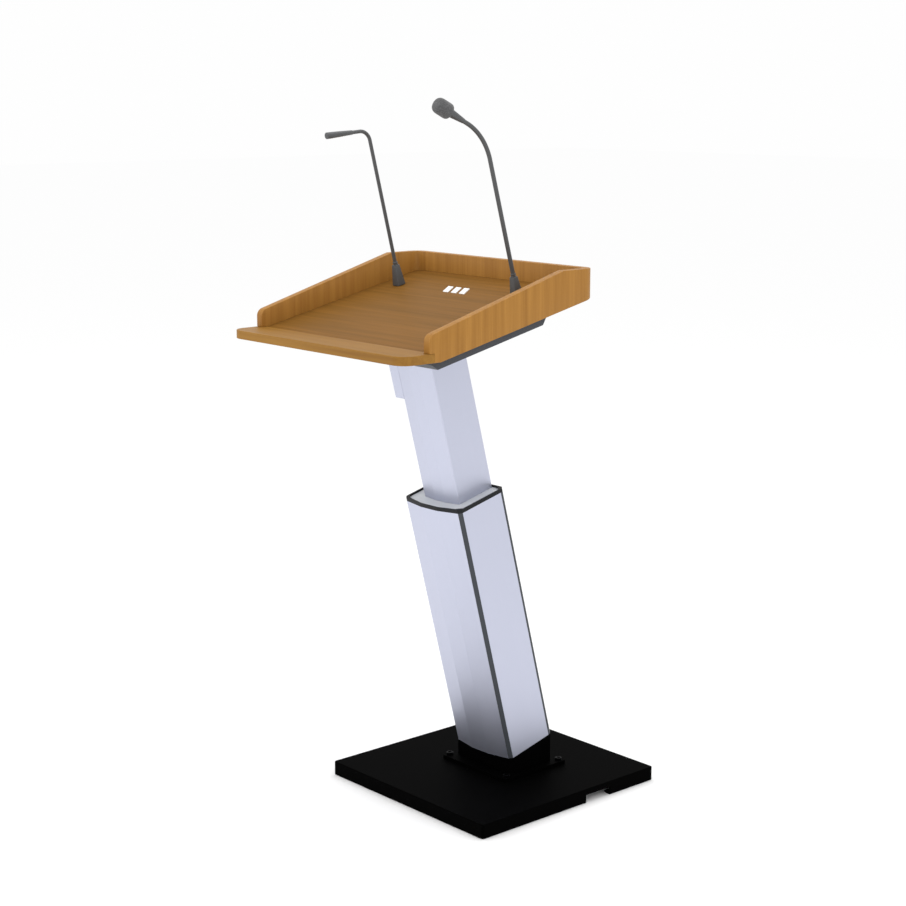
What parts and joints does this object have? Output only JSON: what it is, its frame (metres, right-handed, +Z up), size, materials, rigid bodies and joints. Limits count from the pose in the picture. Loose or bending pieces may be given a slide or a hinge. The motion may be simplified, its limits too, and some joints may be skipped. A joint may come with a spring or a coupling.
{
  "type": "height-adjustable lectern stand",
  "caption": "Height-adjustable lectern with a leaning two-stage aluminium column, black steel base, wooden tray, gooseneck lamp and gooseneck microphone",
  "frame": {"origin": "middle of the base's underside, on the floor", "axes": "+Z up; the speaker stands on the -Y side and looks towards +Y, the audience; +X is the speaker's right"},
  "size_m": [0.5588, 0.7498, 1.5077],
  "materials": {
    "black_steel": "powder coated, satin",
    "ballast_steel": "primed steel plate",
    "black_rubber": "moulded, matte",
    "black_screws": "black oxide",
    "satin_aluminium": "satin anodised",
    "graphite_aluminium": "dark grey anodised",
    "light_polymer": "moulded, smooth",
    "black_polymer": "moulded, satin",
    "mill_aluminium": "mill finish",
    "bright_steel": "ground",
    "zinc_screws": "zinc plated",
    "oak_veneer": "straight-grained veneer, satin lacquer",
    "anthracite_steel": "powder coated, fine texture",
    "silver_keys": "silver lacquered",
    "gunmetal": "satin dark grey",
    "lamp_diffuser": "opal",
    "grey_foam": "open-cell acoustic foam"
  },
  "bodies": {
    "base": {"base_pan": "black_steel", "ballast_plate": "ballast_steel", "rubber_strip": "black_rubber", "foot_casting": "black_steel", "foot_bolts": "black_screws", "front_panel": "satin_aluminium", "side_panel_left": "satin_aluminium", "side_panel_right": "satin_aluminium", "back_panel": "satin_aluminium", "post_front_left": "graphite_aluminium", "post_front_right": "graphite_aluminium", "post_back_left": "graphite_aluminium", "post_back_right": "graphite_aluminium", "rim_collar": "graphite_aluminium", "collar_bush": "light_polymer", "guide_rail_left": "mill_aluminium", "guide_rail_right": "mill_aluminium", "power_inlet": "black_polymer", "lift_motor": "gunmetal", "actuator_gearbox": "mill_aluminium", "actuator_tube": "mill_aluminium"},
    "upper": {"actuator_rod": "bright_steel", "rod_nut": "zinc_screws", "upper_profile": "satin_aluminium", "glide_shoe_left": "light_polymer", "glide_shoe_right": "light_polymer", "control_box": "satin_aluminium", "desk_board": "oak_veneer", "book_ledge": "oak_veneer", "side_wall_left": "oak_veneer", "side_wall_right": "oak_veneer", "back_wall": "oak_veneer", "rear_corner_left": "oak_veneer", "rear_corner_right": "oak_veneer", "desk_bracket": "black_steel", "bracket_screws": "zinc_screws", "desk_cover": "anthracite_steel", "cover_screws": "zinc_screws", "cover_spacers": "mill_aluminium", "switch_module": "black_polymer", "lamp_foot": "gunmetal", "mic_foot": "gunmetal"},
    "key_raise": {"key_raise": "silver_keys"},
    "key_lower": {"key_lower": "silver_keys"},
    "key_light": {"key_light": "silver_keys"},
    "lamp_swivel": {"lamp_ferrule": "gunmetal"},
    "lamp_arm": {"lamp_stem": "gunmetal"},
    "lamp_top": {"lamp_neck_tube": "gunmetal", "lamp_head": "gunmetal", "lamp_lens": "lamp_diffuser"},
    "mic_swivel": {"mic_ferrule": "gunmetal"},
    "mic_arm": {"mic_stem": "gunmetal"},
    "mic_top": {"mic_neck_tube": "gunmetal", "mic_capsule": "gunmetal", "mic_windshield": "grey_foam"}
  },
  "joints": [
    {"name": "column_lift", "type": "slide", "parent": "base", "child": "upper", "axis": [0, -0.2511, 0.968], "range_m": [-0.215, 0.09]},
    {"name": "key_raise_press", "type": "slide", "parent": "upper", "child": "key_raise", "axis": [0, 0.2192, -0.9757], "range_m": [0, 0.0012], "stiffness_N_per_m": 300, "springref_m": -0.002},
    {"name": "key_lower_press", "type": "slide", "parent": "upper", "child": "key_lower", "axis": [0, 0.2192, -0.9757], "range_m": [0, 0.0012], "stiffness_N_per_m": 300, "springref_m": -0.002},
    {"name": "key_light_press", "type": "slide", "parent": "upper", "child": "key_light", "axis": [0, 0.2192, -0.9757], "range_m": [0, 0.0012], "stiffness_N_per_m": 300, "springref_m": -0.002},
    {"name": "lamp_swivel_turn", "type": "hinge", "parent": "upper", "child": "lamp_swivel", "pos_m": [-0.2025, -0.10719, 1.1474], "axis": [0, -0.2487, 0.9686], "range_deg": [-150, 150]},
    {"name": "lamp_arm_bend", "type": "hinge", "parent": "lamp_swivel", "child": "lamp_arm", "pos_m": [-0.2025, -0.10978, 1.15747], "axis": [1, 0, 0], "range_deg": [-15, 15]},
    {"name": "lamp_top_bend", "type": "hinge", "parent": "lamp_arm", "child": "lamp_top", "pos_m": [-0.2025, -0.17593, 1.41512], "axis": [1, 0, 0], "range_deg": [-40, 40]},
    {"name": "mic_swivel_turn", "type": "hinge", "parent": "upper", "child": "mic_swivel", "pos_m": [0.165, -0.10047, 1.14891], "axis": [0, -0.2689, 0.9632], "range_deg": [-150, 150]},
    {"name": "mic_arm_bend", "type": "hinge", "parent": "mic_swivel", "child": "mic_arm", "pos_m": [0.165, -0.1034, 1.15941], "axis": [1, 0, 0], "range_deg": [-15, 15]},
    {"name": "mic_top_bend", "type": "hinge", "parent": "mic_arm", "child": "mic_top", "pos_m": [0.165, -0.16617, 1.38421], "axis": [1, 0, 0], "range_deg": [-35, 35]}
  ]
}
